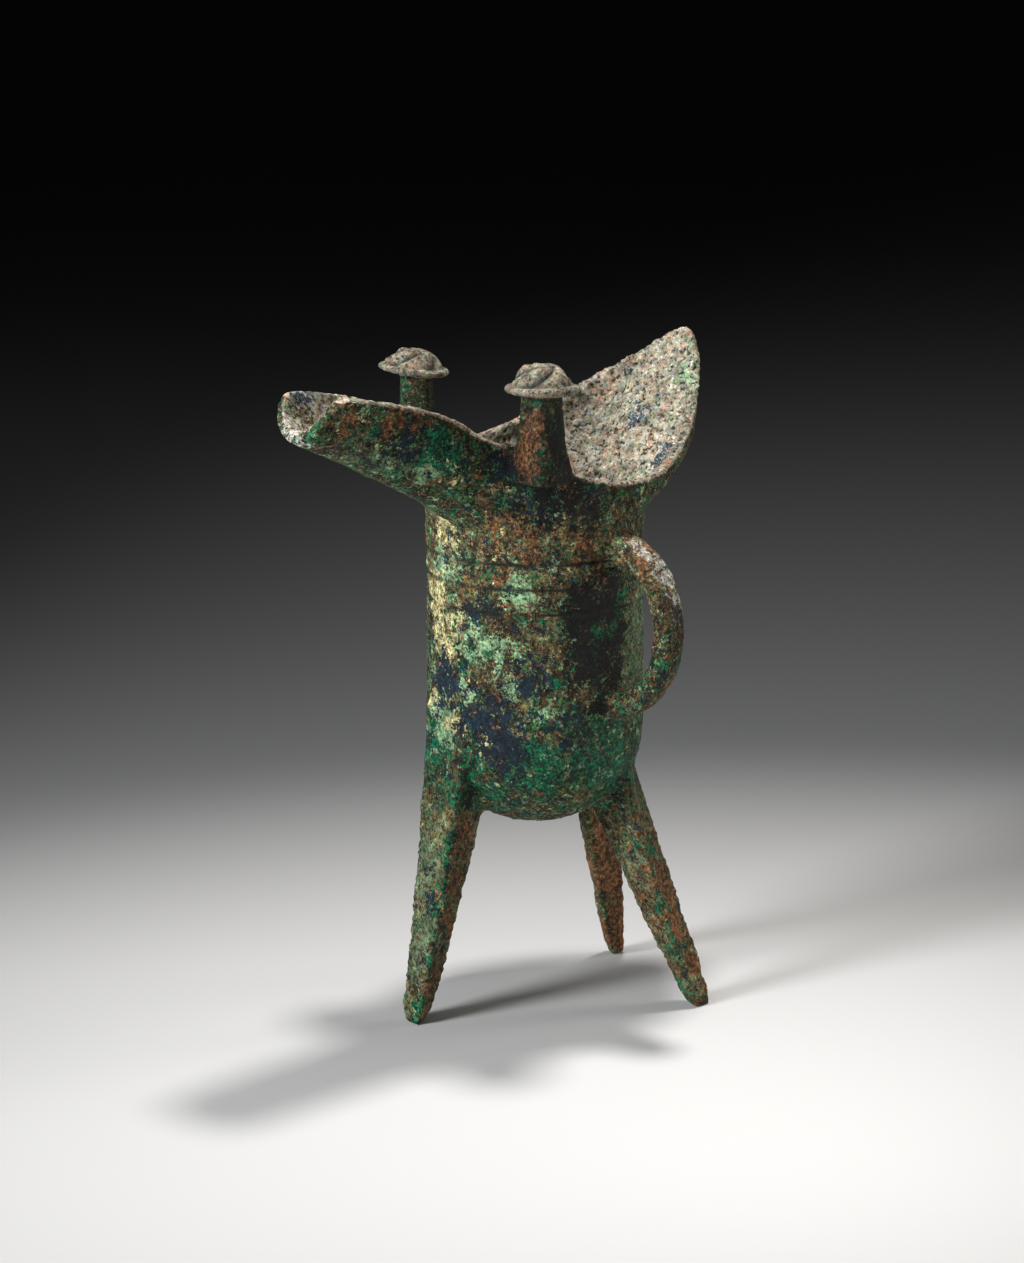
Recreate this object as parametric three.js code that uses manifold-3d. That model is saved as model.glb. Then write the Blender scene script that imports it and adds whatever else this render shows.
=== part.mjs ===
// A bronze jue: a round cup on three blade legs, with a long pouring spout, a pointed tail,
// two capped posts on the rim and a strap handle. It is hand cast, so no two legs, posts or caps are
// quite alike. Millimetres, +Z up, spout towards -X, tail towards +X, handle towards -Y.
import * as THREE from 'three';
import { mergeVertices } from 'three/addons/utils/BufferGeometryUtils.js';
import Module from 'manifold-3d';

const wasm = await Module();
wasm.setup();

// Seams: the clear gap that each cast-on piece keeps to the piece that carries it
const SEAM_GAP = 0.3;

// Cup: a round wall over an egg-shaped belly, with incised rings below the neck
const CUP_RADIUS = 30;
const CUP_WALL = 2.8;
const CUP_FLOOR = 3.4;
const BELLY_Z = 53;
const SHOULDER_Z = 80;
const NECK_Z = 139.5;
const RING_COUNT = 3;
const RING_TOP_Z = 130.9;
const RING_SPACING = 6.8;
const RING_DEPTH = 0.5;
const RING_WIDTH = 1.2;
const CUP_SEGMENTS = 80;
const BELLY_STEPS = 11;

// Mouth: one wall that leaves the neck and sweeps out to the spout and the tail
const MOUTH_WALL = 2.8;
const SPOUT_FLARE = 1.2;
const TAIL_FLARE = 1.35;
// Beside the tail the wall swings out quickly and then stands upright from this share of its height
const FLANK_UPRIGHT = 0.85;
const FLANK_FULL_FROM = 30;
const FLANK_FULL_TO = 60;
const FLANK_END = 100;
const MOUTH_AROUND = 112;
const MOUTH_UP = 10;
// How far the spout's lip and the tail's tip stand from the cup's axis
const SPOUT_REACH = 88.2;
const TAIL_REACH = 63;
// The rim on the handle side, from the tail's tip to the spout's lip. Each row is the angle on the
// neck that the wall rises from, then the rim's x, its half width and its height above the neck.
const RIM = [
  [0, TAIL_REACH, 0, 44.9],
  [4, TAIL_REACH - 1.2, 3.7, 43.5],
  [8, TAIL_REACH - 4.4, 7.8, 40.3],
  [14, TAIL_REACH - 10, 13.4, 36],
  [24, TAIL_REACH - 19.5, 20.6, 29.7],
  [36, 33, 26, 22.8],
  [50, 22, 29.6, 17.7],
  [68, 9, 31, 15.1],
  [90, -3, 30.3, 14.9],
  [112, -14, 27.2, 17.5],
  [130, -23, 21.4, 22],
  [143, -33, 15.2, 26.1],
  [152, 43.2 - SPOUT_REACH, 13.4, 32.8],
  [158, 28.2 - SPOUT_REACH, 13, 37.3],
  [163, 15.2 - SPOUT_REACH, 12.5, 39.5],
  [167, 7.2 - SPOUT_REACH, 11.8, 40.4],
  [171, 2.7 - SPOUT_REACH, 9.8, 35.5],
  [175.5, 0.6 - SPOUT_REACH, 5.8, 31.5],
  [180, -SPOUT_REACH, 0, 29.7],
];
// The mouth is warped: the rim stands higher on the side away from the handle, most of all at this x
const RIM_LEAN = 3.7;
const RIM_LEAN_X = 18;
const RIM_LEAN_SPREAD = 30;
const RIM_LEAN_EASE = 12;

// Posts: square in section, spreading where they grip the rim. One was turned as it was set.
const POST_X = -22;
const POST_Y = 24;
// A post starts this far below the rim's lowest point
const POST_GRIP = 0.4;
const POST_BASE_Z = NECK_Z + Math.min(...RIM.map(([, , , rise]) => rise)) - POST_GRIP;
const POST_FOOT_SPREAD = 5.3;
const POST_RINGS = 8;
const POST_AROUND = 16;
const POST_SQUARENESS = 0.35;

// Caps: truncated cones with a soft edge and a raised boss
const CAP_SEAT_SIDE = 26;
const CAP_EDGE = 1.3;
const CAP_BOSS_SHARE = 0.42;
const CAP_UNDER_CUT = 0.6;
const CAP_UNDER_RISE = 0.5;
const CAP_OVER_CUT = 0.5;
const CAP_OVER_RISE = 0.4;
const CAP_BOSS_ROUND = 0.8;
const CAP_SEGMENTS = 40;

const NEAR_POST_WIDTH = 8.5;
const NEAR_POST_HEIGHT = 23.6;
const NEAR_CAP_RADIUS = 9.9;
const NEAR_CAP_HEIGHT = 7;
const FAR_POST_WIDTH = 7.8;
const FAR_POST_HEIGHT = 24.4;
const FAR_CAP_RADIUS = 9.8;
const FAR_CAP_HEIGHT = 6.2;
const FAR_CAP_SHIFT = 0.8;
const POSTS = [
  {
    name: 'near', side: -1, width: NEAR_POST_WIDTH, height: NEAR_POST_HEIGHT, turn: 0,
    cap: { radius: NEAR_CAP_RADIUS, height: NEAR_CAP_HEIGHT, tilt: 0, shift: 0 },
  },
  {
    name: 'far', side: 1, width: FAR_POST_WIDTH, height: FAR_POST_HEIGHT, turn: 34,
    cap: { radius: FAR_CAP_RADIUS, height: FAR_CAP_HEIGHT, tilt: 7, shift: FAR_CAP_SHIFT },
  },
];
// The plan angle of the line that a cap tilts about; it also sits off its post, towards its high side
const CAP_TILT_LINE = 45;

// Handle: a strap bent into a half oval, its ends spread on the wall
const HANDLE_ANGLE = -85;
const HANDLE_BELOW_NECK = 6.2;
const HANDLE_HEIGHT = 43;
const HANDLE_TOP_Z = NECK_Z - HANDLE_BELOW_NECK;
const HANDLE_BOTTOM_Z = HANDLE_TOP_Z - HANDLE_HEIGHT;
const HANDLE_REACH = 16.8;
const HANDLE_WIDTH = 8.4;
const HANDLE_THICKNESS = 5.4;
const HANDLE_ROOT_GROWTH_SHARE = 0.3;
const HANDLE_STEPS = 28;

// Legs: blades with a flat outer face and a ridge on the inside, tapering to blunt feet
const LEG_ROOT_Z = 92;
const LEG_WIDTH_TAPER = 0.75;
const LEG_DEPTH_TAPER = 0.8;
const LEG_BOW = 1.1;
const LEG_RINGS = 16;
// How far out each leg's foot and root stand from the cup's axis, and their sections
const SPOUT_FOOT_OUT = 43;
const SPOUT_FOOT_WIDTH = 6.4;
const SPOUT_FOOT_DEPTH = 5;
const SPOUT_ROOT_OUT = 29;
const SPOUT_ROOT_WIDTH = 17.5;
const SPOUT_ROOT_DEPTH = 21;
const HANDLE_FOOT_OUT = 49.2;
const HANDLE_FOOT_WIDTH = 6.4;
const HANDLE_FOOT_DEPTH = 6.4;
const HANDLE_ROOT_OUT = 21;
const HANDLE_ROOT_WIDTH = 17.5;
const HANDLE_ROOT_DEPTH = 17.5;
const TAIL_FOOT_OUT = 47;
const TAIL_FOOT_WIDTH = 5;
const TAIL_FOOT_DEPTH = 4.5;
const TAIL_ROOT_OUT = 26;
const TAIL_ROOT_WIDTH = 15.5;
const TAIL_ROOT_DEPTH = 18;
// Each leg twists a little between its foot and its root
const LEGS = [
  {
    name: 'spout_leg', angle: 171,
    foot: { radius: SPOUT_FOOT_OUT, facing: 172, width: SPOUT_FOOT_WIDTH, depth: SPOUT_FOOT_DEPTH },
    root: { radius: SPOUT_ROOT_OUT, facing: 178, width: SPOUT_ROOT_WIDTH, depth: SPOUT_ROOT_DEPTH },
  },
  {
    name: 'handle_leg', angle: -57,
    foot: { radius: HANDLE_FOOT_OUT, facing: -86, width: HANDLE_FOOT_WIDTH, depth: HANDLE_FOOT_DEPTH },
    root: { radius: HANDLE_ROOT_OUT, facing: -40, width: HANDLE_ROOT_WIDTH, depth: HANDLE_ROOT_DEPTH },
  },
  {
    name: 'tail_leg', angle: 13,
    foot: { radius: TAIL_FOOT_OUT, facing: 29, width: TAIL_FOOT_WIDTH, depth: TAIL_FOOT_DEPTH },
    root: { radius: TAIL_ROOT_OUT, facing: 29, width: TAIL_ROOT_WIDTH, depth: TAIL_ROOT_DEPTH },
  },
];

// Finishes
function bronze(color, roughness) {
  return new THREE.MeshStandardMaterial({ color, roughness, metalness: 0.35 });
}
const FINISH = {
  cup: bronze(0x5f7d62, 0.75),
  mouth: bronze(0x4f7f66, 0.75),
  leg: bronze(0x66785a, 0.8),
  post: bronze(0x7a6a4c, 0.8),
  cap: bronze(0x8f9081, 0.85),
  handle: bronze(0x4c7558, 0.75),
};

const radians = THREE.MathUtils.degToRad;
const lerp = THREE.MathUtils.lerp;
const smoothstep = THREE.MathUtils.smoothstep;

// A horizontal point given by its distance out along an angle and its offset across it
function plan(angle, out, across, z) {
  return new THREE.Vector3(
    out * Math.cos(angle) - across * Math.sin(angle),
    out * Math.sin(angle) + across * Math.cos(angle),
    z,
  );
}

function solidFrom(points, triangles) {
  return new wasm.Manifold(new wasm.Mesh({
    numProp: 3,
    vertProperties: Float32Array.from(points),
    triVerts: Uint32Array.from(triangles),
  }));
}

function solidFromGeometry(geometry) {
  const bare = geometry.clone();
  bare.deleteAttribute('normal');
  bare.deleteAttribute('uv');
  const merged = mergeVertices(bare, 1e-4);
  return solidFrom(merged.attributes.position.array, merged.index.array);
}

function meshFromSolid(name, solid, material) {
  const data = solid.getMesh();
  const geometry = new THREE.BufferGeometry();
  geometry.setAttribute('position', new THREE.BufferAttribute(data.vertProperties, 3));
  geometry.setIndex(new THREE.BufferAttribute(data.triVerts, 1));
  geometry.computeVertexNormals();
  const mesh = new THREE.Mesh(geometry, material);
  mesh.name = name;
  return mesh;
}

// Skins a stack of rings, bottom ring first and each ring counter-clockwise seen from the far end
function loft(rings) {
  const count = rings[0].length;
  const points = rings.flat().flatMap((p) => p.toArray());
  const triangles = [];
  for (let i = 0; i + 1 < rings.length; i += 1) {
    for (let j = 0; j < count; j += 1) {
      const a = i * count + j;
      const b = i * count + ((j + 1) % count);
      triangles.push(a, b, b + count, a, b + count, a + count);
    }
  }
  for (const end of [0, rings.length - 1]) {
    const middle = new THREE.Vector3();
    rings[end].forEach((p) => middle.addScaledVector(p, 1 / count));
    const centre = points.length / 3;
    points.push(...middle.toArray());
    for (let j = 0; j < count; j += 1) {
      const a = end * count + j;
      const b = end * count + ((j + 1) % count);
      triangles.push(...(end === 0 ? [b, a, centre] : [a, b, centre]));
    }
  }
  return solidFrom(points, triangles);
}

function revolve(profile, segments) {
  const geometry = new THREE.LatheGeometry(profile, segments);
  geometry.rotateX(Math.PI / 2);
  return solidFromGeometry(geometry);
}

// Cup
function belly(radius, bottomZ) {
  const arc = [];
  for (let i = 0; i <= BELLY_STEPS; i += 1) {
    const angle = (i / BELLY_STEPS) * Math.PI / 2;
    arc.push(new THREE.Vector2(
      radius * Math.sin(angle),
      SHOULDER_Z - (SHOULDER_Z - bottomZ) * Math.cos(angle),
    ));
  }
  return arc;
}

// The cup without its hollow, larger all round by a gap, to cut the cast-on pieces back
function cupSpace(gap) {
  const profile = belly(CUP_RADIUS + gap, BELLY_Z - gap);
  profile.push(new THREE.Vector2(CUP_RADIUS + gap, NECK_Z));
  profile.push(new THREE.Vector2(0, NECK_Z));
  return revolve(profile, CUP_SEGMENTS);
}

function cupSolid() {
  const profile = belly(CUP_RADIUS, BELLY_Z);
  for (let i = RING_COUNT - 1; i >= 0; i -= 1) {
    const z = RING_TOP_Z - i * RING_SPACING;
    profile.push(new THREE.Vector2(CUP_RADIUS, z - RING_WIDTH / 2));
    profile.push(new THREE.Vector2(CUP_RADIUS - RING_DEPTH, z));
    profile.push(new THREE.Vector2(CUP_RADIUS, z + RING_WIDTH / 2));
  }
  profile.push(new THREE.Vector2(CUP_RADIUS, NECK_Z));
  profile.push(new THREE.Vector2(CUP_RADIUS - CUP_WALL, NECK_Z));
  profile.push(...belly(CUP_RADIUS - CUP_WALL, BELLY_Z + CUP_FLOOR).reverse());
  return revolve(profile, CUP_SEGMENTS);
}

// Mouth
// A value of the rim's table between two rows, on a smooth curve that runs on past either end
function rimValue(column, index, part) {
  const last = RIM.length - 1;
  const at = (i) => {
    const k = i < 0 ? -i : i > last ? 2 * last - i : i;
    const end = i < 0 ? 0 : last;
    const odd = column === 0 || column === 2;
    return i !== k && odd ? 2 * RIM[end][column] - RIM[k][column] : RIM[k][column];
  };
  const [a, b, c, d] = [at(index - 1), at(index), at(index + 1), at(index + 2)];
  return 0.5 * (2 * b + (c - a) * part + (2 * a - 5 * b + 4 * c - d) * part ** 2
    + (3 * b - a - 3 * c + d) * part ** 3);
}

// Turn runs from 0 at the tail's tip along the handle side to 0.5 at the lip, and back to 1
function rimAt(turn) {
  const side = turn <= 0.5 ? -1 : 1;
  const along = (side < 0 ? turn : 1 - turn) * 2 * (RIM.length - 1);
  const index = Math.min(Math.floor(along), RIM.length - 2);
  const [angle, x, half, rise] = [0, 1, 2, 3].map((column) => rimValue(column, index, along - index));
  const bump = Math.exp(-(((x - RIM_LEAN_X) / RIM_LEAN_SPREAD) ** 2));
  const lean = RIM_LEAN * bump * Math.min(1, half / RIM_LEAN_EASE);
  return { angle: side * radians(angle), rim: new THREE.Vector3(x, side * half, NECK_Z + rise + side * lean) };
}

function mouthPoint(turn, level) {
  const { angle, rim } = rimAt(turn);
  const foot = plan(angle, CUP_RADIUS, 0, NECK_Z);
  const flare = lerp(TAIL_FLARE, SPOUT_FLARE, (1 - Math.cos(angle)) / 2);
  const turned = THREE.MathUtils.radToDeg(Math.abs(angle));
  const flank = smoothstep(turned, 0, FLANK_FULL_FROM) * (1 - smoothstep(turned, FLANK_FULL_TO, FLANK_END));
  const out = lerp(level ** flare, smoothstep(level, 0, FLANK_UPRIGHT), flank);
  return new THREE.Vector3(
    lerp(foot.x, rim.x, out),
    lerp(foot.y, rim.y, out),
    lerp(foot.z, rim.z, level),
  );
}

function mouthNormal(turn, level) {
  const step = 1e-3;
  const around = mouthPoint((turn + step) % 1, level).sub(mouthPoint((turn + 1 - step) % 1, level));
  const up = mouthPoint(turn, Math.min(1, level + step)).sub(mouthPoint(turn, Math.max(0, level - step)));
  const normal = up.cross(around);
  if (level === 0) normal.z = 0;
  return normal.normalize();
}

// A point moved square to the wall and, at the rim, up along it
function mouthOffset(turn, level, offset, rise) {
  const p = mouthPoint(turn, level).addScaledVector(mouthNormal(turn, level), offset);
  if (level === 0) p.z += SEAM_GAP;
  if (level < 1) return p;
  const below = mouthPoint(turn, 1 - 1e-3);
  return p.addScaledVector(mouthPoint(turn, 1).sub(below).normalize(), rise);
}

function mouthSolid() {
  const wall = [];
  for (let k = 0; k <= MOUTH_UP; k += 1) wall.push({ level: k / MOUTH_UP, offset: 0 });
  for (let k = MOUTH_UP; k >= 0; k -= 1) wall.push({ level: k / MOUTH_UP, offset: -MOUTH_WALL });
  const points = [];
  const triangles = [];
  for (let j = 0; j < MOUTH_AROUND; j += 1) {
    for (const { level, offset } of wall) {
      points.push(...mouthOffset(j / MOUTH_AROUND, level, offset, 0).toArray());
    }
    const here = j * wall.length;
    const next = ((j + 1) % MOUTH_AROUND) * wall.length;
    for (let k = 0; k < wall.length; k += 1) {
      const above = (k + 1) % wall.length;
      triangles.push(here + k, here + above, next + above, here + k, next + above, next + k);
    }
  }
  return solidFrom(points, triangles);
}

// The mouth's wall and all that it holds, larger by a gap, to cut the posts back
function mouthSpace(gap) {
  const rings = [];
  for (let k = 0; k <= MOUTH_UP; k += 1) {
    const ring = [];
    for (let j = MOUTH_AROUND; j > 0; j -= 1) {
      ring.push(mouthOffset((j % MOUTH_AROUND) / MOUTH_AROUND, k / MOUTH_UP, gap, gap));
    }
    rings.push(ring);
  }
  return loft(rings);
}

// Posts and caps
// Where a cap's underside sits
function capPlace(post) {
  const line = radians(CAP_TILT_LINE);
  const shift = plan(line, 0, post.cap.shift, 0);
  return new THREE.Matrix4().compose(
    new THREE.Vector3(POST_X, post.side * POST_Y, POST_BASE_Z + post.height + SEAM_GAP).add(shift),
    new THREE.Quaternion().setFromAxisAngle(plan(line, 1, 0, 0), radians(post.cap.tilt)),
    new THREE.Vector3(1, 1, 1),
  );
}

function postSolid(post, mouthOuter) {
  const rings = [];
  const topZ = POST_BASE_Z + post.height + post.cap.height / 2;
  for (let i = 0; i <= POST_RINGS; i += 1) {
    const t = i / POST_RINGS;
    const half = (post.width + POST_FOOT_SPREAD * (1 - t) ** 2) / 2;
    const ring = [];
    for (let k = 0; k < POST_AROUND; k += 1) {
      const angle = (k / POST_AROUND) * 2 * Math.PI;
      const c = Math.cos(angle);
      const s = Math.sin(angle);
      const out = half * Math.sign(c) * Math.abs(c) ** POST_SQUARENESS;
      const across = half * Math.sign(s) * Math.abs(s) ** POST_SQUARENESS;
      const p = plan(radians(post.turn), out, across, lerp(POST_BASE_Z, topZ, t));
      ring.push(p.add(new THREE.Vector3(POST_X, post.side * POST_Y, 0)));
    }
    rings.push(ring);
  }
  const above = new THREE.BoxGeometry(CAP_SEAT_SIDE, CAP_SEAT_SIDE, CAP_SEAT_SIDE);
  above.translate(0, 0, CAP_SEAT_SIDE / 2 - SEAM_GAP);
  above.applyMatrix4(capPlace(post));
  return loft(rings).subtract(mouthOuter).subtract(solidFromGeometry(above));
}

function capSolid(cap) {
  const r = cap.radius;
  const h = cap.height;
  const boss = r * CAP_BOSS_SHARE;
  const profile = [
    [0, 0],
    [r - CAP_UNDER_CUT, 0],
    [r, CAP_UNDER_RISE],
    [r, CAP_EDGE],
    [r - CAP_OVER_CUT, CAP_EDGE + CAP_OVER_RISE],
    [r * 0.74, lerp(CAP_EDGE, h, 0.4)],
    [r * 0.6, lerp(CAP_EDGE, h, 0.72)],
    [boss + CAP_BOSS_ROUND, lerp(CAP_EDGE, h, 0.86)],
    [boss, h],
    [0, h],
  ];
  return revolve(profile.map(([x, z]) => new THREE.Vector2(x, z)), CAP_SEGMENTS);
}

// Handle
function handleSolid(cupOuter) {
  const turn = radians(HANDLE_ANGLE);
  const middleZ = (HANDLE_TOP_Z + HANDLE_BOTTOM_Z) / 2;
  const halfHeight = (HANDLE_TOP_Z - HANDLE_BOTTOM_Z) / 2;
  const bury = CUP_WALL;
  const section = [[-1, -0.6], [-0.8, -1], [0.8, -1], [1, -0.6], [1, 0.6], [0.8, 1], [-0.8, 1], [-1, 0.6]];
  const rings = [];
  for (let i = 0; i <= HANDLE_STEPS; i += 1) {
    const angle = Math.PI * (i / HANDLE_STEPS - 0.5);
    const out = Math.cos(angle);
    const up = Math.sin(angle);
    const normal = new THREE.Vector2(out * halfHeight, up * HANDLE_REACH).normalize();
    const spread = 1 + HANDLE_ROOT_GROWTH_SHARE * (1 - out) ** 3;
    rings.push(section.map(([across, thick]) => plan(
      turn,
      CUP_RADIUS + HANDLE_REACH * out + (normal.x * thick * HANDLE_THICKNESS * spread) / 2,
      (across * HANDLE_WIDTH * spread) / 2,
      middleZ + halfHeight * up + (normal.y * thick * HANDLE_THICKNESS * spread) / 2,
    )));
  }
  for (const end of [0, rings.length - 1]) {
    const inward = plan(turn, -bury, 0, 0);
    const buried = rings[end].map((p) => p.clone().add(inward));
    if (end === 0) rings.unshift(buried);
    else rings.push(buried);
  }
  return loft(rings.reverse()).subtract(cupOuter);
}

// Legs
function legSolid(leg, cupOuter) {
  const section = [[0, -1], [0, 1], [-0.12, 1], [-1, 0.12], [-1, -0.12], [-0.12, -1]];
  const rings = [];
  for (let i = 0; i <= LEG_RINGS; i += 1) {
    const t = i / LEG_RINGS;
    const radius = lerp(leg.root.radius, leg.foot.radius, (1 - t) ** LEG_BOW);
    const facing = radians(lerp(leg.foot.facing, leg.root.facing, t));
    const halfWidth = lerp(leg.foot.width, leg.root.width, t ** LEG_WIDTH_TAPER) / 2;
    const depth = lerp(leg.foot.depth, leg.root.depth, t ** LEG_DEPTH_TAPER);
    const face = plan(radians(leg.angle), radius, 0, LEG_ROOT_Z * t);
    rings.push(section.map(([out, across]) => (
      plan(facing, out * depth, across * halfWidth, 0).add(face)
    )));
  }
  return loft(rings).subtract(cupOuter);
}

// Assembly, stood on its feet with the middle of its plan at the origin
const vessel = new THREE.Group();
const cupOuter = cupSpace(SEAM_GAP);
const mouthOuter = mouthSpace(SEAM_GAP);
vessel.add(meshFromSolid('cup', cupSolid(), FINISH.cup));
vessel.add(meshFromSolid('mouth', mouthSolid(), FINISH.mouth));
vessel.add(meshFromSolid('handle', handleSolid(cupOuter), FINISH.handle));
for (const leg of LEGS) {
  vessel.add(meshFromSolid(leg.name, legSolid(leg, cupOuter), FINISH.leg));
}
for (const post of POSTS) {
  vessel.add(meshFromSolid(`${post.name}_post`, postSolid(post, mouthOuter), FINISH.post));
  const cap = meshFromSolid(`${post.name}_cap`, capSolid(post.cap), FINISH.cap);
  cap.applyMatrix4(capPlace(post));
  vessel.add(cap);
}

const bounds = new THREE.Box3().setFromObject(vessel, true);
const middle = bounds.getCenter(new THREE.Vector3());
vessel.position.set(-middle.x, -middle.y, -bounds.min.z);
vessel.updateMatrixWorld(true);

export default vessel;
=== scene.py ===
import math
import bmesh
import bpy
import numpy as np
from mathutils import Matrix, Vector, noise
from mathutils.bvhtree import BVHTree

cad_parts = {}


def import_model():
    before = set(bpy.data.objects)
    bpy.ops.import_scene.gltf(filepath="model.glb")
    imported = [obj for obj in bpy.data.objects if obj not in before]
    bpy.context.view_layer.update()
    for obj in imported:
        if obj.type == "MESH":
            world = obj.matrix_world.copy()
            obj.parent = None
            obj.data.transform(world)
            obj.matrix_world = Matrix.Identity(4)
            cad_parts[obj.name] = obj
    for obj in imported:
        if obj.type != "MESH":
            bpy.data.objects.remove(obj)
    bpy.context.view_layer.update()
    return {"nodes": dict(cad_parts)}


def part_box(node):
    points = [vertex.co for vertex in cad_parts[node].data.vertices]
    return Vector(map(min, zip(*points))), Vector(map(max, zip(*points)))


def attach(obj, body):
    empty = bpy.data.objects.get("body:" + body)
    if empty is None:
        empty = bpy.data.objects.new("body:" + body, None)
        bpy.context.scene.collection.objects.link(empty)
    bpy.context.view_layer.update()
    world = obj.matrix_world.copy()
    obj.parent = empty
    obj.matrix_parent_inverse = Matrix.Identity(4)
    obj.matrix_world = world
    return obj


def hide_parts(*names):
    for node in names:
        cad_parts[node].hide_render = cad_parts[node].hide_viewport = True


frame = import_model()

MM = 0.001

# Camera: the photograph's own viewpoint, worked out from the incised rings and the three feet.
PHOTO_HEIGHT = 1263
FOCAL_PIXELS = 3200
SENSOR_SIZE = 36
CAMERA_PLACE = Vector((-0.6085, -0.60444, 0.2962))
CAMERA_TURN = math.radians(45)
CAMERA_PITCH = math.radians(12.3)


def place_camera():
    data = bpy.data.cameras.new("camera")
    data.sensor_width = SENSOR_SIZE
    data.lens = FOCAL_PIXELS / PHOTO_HEIGHT * SENSOR_SIZE
    camera = bpy.data.objects.new("camera", data)
    bpy.context.collection.objects.link(camera)
    level = math.cos(CAMERA_PITCH)
    ahead = Vector((math.sin(CAMERA_TURN) * level, math.cos(CAMERA_TURN) * level, -math.sin(CAMERA_PITCH)))
    camera.location = CAMERA_PLACE
    camera.rotation_euler = ahead.to_track_quat("-Z", "Y").to_euler()
    bpy.context.scene.camera = camera


place_camera()

# The vessel in millimetres: the cup's axis, the seam below the mouth, and the height that the inside faces.
AXIS = Vector((12.6, 7.66, 0))
SEAM_Z = 139.65
SKY_Z = 235
INSIDE_SHARPNESS = 2.5
CUP_INNER_RADIUS = 24
MOUTH_EASE = 6
TAIL_START = 14
LEG_TOP_Z = 62
LEG_EASE = 14

# The incised rings: they sway a little round the cup and are worn away in places.
RING_HEIGHTS = (130.9, 124.1, 117.3)
RING_WIDTH = 1.1
RING_DEPTH = 0.42
RING_SWAY = 0.35
RING_SWAY_START = 0.6
RING_REACH = 32
RING_KEPT = 0.75

# The casting: seams closed by growing each piece, then one skin of small square faces.
SEAM_GROWTH = 0.2
FACE_SIZE = 0.62
FILLET_ROUNDS = 45
FILLET_FULLNESS = 2.2
FILLETS = (
    ("spout_leg", "cup", 8),
    ("handle_leg", "cup", 8),
    ("tail_leg", "cup", 8),
    ("handle", "cup", 5),
    ("near_post", "mouth", 7),
    ("far_post", "mouth", 5),
)
WEAR_ROUNDS = 4
WEAR_SHARE = 0.5
FOOT_ROUNDS = 6
FOOT_WEAR = 3 * MM
FOOT_EASE = 1.3
BEND_ROUNDS = 5

# The skin's bumps and the worn places of the rings: the size in millimetres, octaves and seed of each kind.
SWELL = (17, 2, 3)
LUMPS = (5.2, 3, 11)
CRUST = (2.2, 2, 23)
GRANULES = (1.25, 2, 31)
RING_WEAR = (7, 2, 51)

# How high they stand in millimetres, and how much higher on legs and inside the mouth and its tail.
SWELL_HEIGHT = 0.34
LEG_SWELL = 0.2
LUMP_HEIGHT = 0.22
CRUST_HEIGHT = 0.14
LEG_CRUST = 0.16
TAIL_CRUST = 0.36
GRANULE_HEIGHT = 0.14
LEG_GRANULES = 0.18
TAIL_GRANULES = 0.36
MOUTH_GRANULES = 0.08
CAP_CALM = 0.6
FLOOR_CLEARANCE = 0.6
FLOOR_EASE = 3

# How much the finish reads of crust and granules when it darkens hollows.
CRUST_RELIEF = 0.5
GRANULE_RELIEF = 0.35
MOUTH_RELIEF = 0.65
LEG_RELIEF = 0.2

# The worn crescents on the caps: where each cap's first one starts, how many there are, how far they whirl in
# radians per millimetre, how round and deep they are, and where on the radius they and the brim's crease lie.
CAPS = {"near_cap": 0.4, "far_cap": 1.5}
WHORL_ARMS = 4
WHORL_TWIST = 0.3
WHORL_ROUNDNESS = 0.6
WHORL_DEPTH = 1.5
WHORL_START = 0.1
WHORL_END = 0.86
BRIM_CREASE_AT = 0.88
BRIM_CREASE_WIDTH = 0.6
BRIM_CREASE = 0.7
CAP_MARGIN = 2
CAP_UNDERSIDE = 0.8
# The caps' folds deeper than this are darkened by this share: painted shade.
DARK_CREASE_DEPTH = 0.3
DARK_CREASE_SHARE = 0.9

# Where each piece is cut from the casting: how far its region reaches past its solid, outermost pieces first.
REACHES = {
    "near_cap": 1.0,
    "far_cap": 1.0,
    "near_post": 2.2,
    "far_post": 2.2,
    "handle": 2.5,
    "spout_leg": 4,
    "handle_leg": 4,
    "tail_leg": 4,
}
CUT_DEPTH = 0.6
BLOCK_SIZE = 0.4

SLOTS = {
    "cup": "cup_bronze",
    "mouth": "mouth_bronze",
    "handle": "handle_bronze",
    "spout_leg": "leg_bronze",
    "handle_leg": "leg_bronze",
    "tail_leg": "leg_bronze",
    "near_post": "post_bronze",
    "far_post": "post_bronze",
    "near_cap": "cap_bronze",
    "far_cap": "cap_bronze",
}


def points_of(mesh):
    flat = np.empty(len(mesh.vertices) * 3, np.float32)
    mesh.vertices.foreach_get("co", flat)
    return flat.reshape(-1, 3)


def normals_of(mesh):
    flat = np.empty(len(mesh.vertices) * 3, np.float32)
    mesh.vertex_normals.foreach_get("vector", flat)
    return flat.reshape(-1, 3)


def set_points(mesh, points):
    mesh.vertices.foreach_set("co", points.astype(np.float32).ravel())
    mesh.update()


def evaluated(obj):
    return bpy.data.meshes.new_from_object(obj.evaluated_get(bpy.context.evaluated_depsgraph_get()))


def linked(name, mesh):
    obj = bpy.data.objects.new(name, mesh)
    bpy.context.collection.objects.link(obj)
    return obj


def grown(node, distance):
    """A closed copy of a node's solid with its surface moved outwards, in millimetres."""
    mesh = frame["nodes"][node].data.copy()
    work = bmesh.new()
    work.from_mesh(mesh)
    bmesh.ops.remove_doubles(work, verts=work.verts, dist=1e-6)
    work.to_mesh(mesh)
    work.free()
    set_points(mesh, points_of(mesh) + normals_of(mesh) * distance * MM)
    return mesh


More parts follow.
